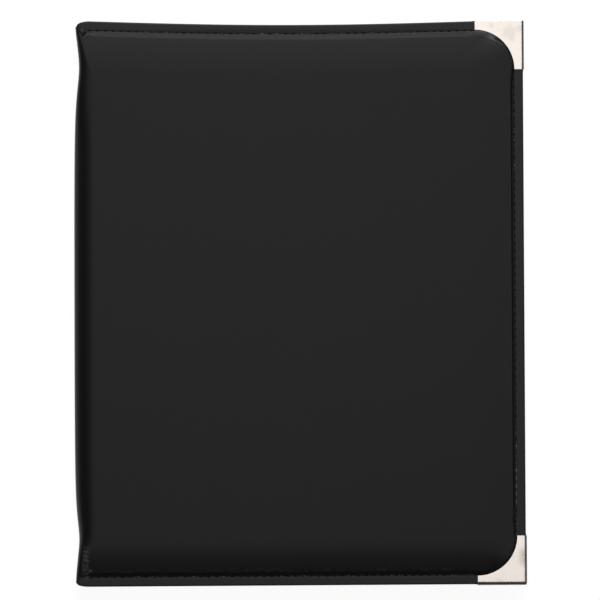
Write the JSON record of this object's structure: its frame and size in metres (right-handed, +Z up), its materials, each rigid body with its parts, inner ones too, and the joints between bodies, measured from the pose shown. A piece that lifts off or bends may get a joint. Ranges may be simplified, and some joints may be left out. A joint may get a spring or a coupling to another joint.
{
  "type": "music folder",
  "caption": "Padded leatherette folder for sheet music, with metal corners, a stitched border, a soft spine and a pocket inside each cover.",
  "frame": {"origin": "centre of the closed folder's bounding box, on the surface that it lies on", "axes": "+Z up through the covers, +Y up the page, +X from the spine to the opening edge"},
  "size_m": [0.248, 0.3122, 0.0145],
  "materials": {
    "leatherette": "satin",
    "lining": "matte",
    "pocket": "satin",
    "board": "matte",
    "foam": "matte",
    "nickel": "satin"
  },
  "bodies": {
    "back_cover": {"back_skin": "leatherette", "back_board": "board", "back_lining": "lining", "back_pocket": "pocket", "back_corner_top": "nickel", "back_corner_bottom": "nickel"},
    "spine": {"spine_wrap": "leatherette", "spine_lining": "lining"},
    "front_cover": {"front_skin": "leatherette", "front_foam": "foam", "front_board": "board", "front_lining": "lining", "front_pocket": "pocket", "front_corner_top": "nickel", "front_corner_bottom": "nickel"}
  },
  "joints": [
    {"name": "spine_fold", "type": "hinge", "parent": "back_cover", "child": "spine", "pos_m": [-0.12405, 0, 0], "axis": [0, -1, 0], "range_deg": [0, 90]},
    {"name": "front_cover_fold", "type": "hinge", "parent": "spine", "child": "front_cover", "pos_m": [-0.12405, 0, 0.0145], "axis": [0, -1, 0], "range_deg": [0, 90]}
  ],
  "couplings": [
    {"joint": "front_cover_fold", "follows": "spine_fold", "ratio": 1}
  ]
}
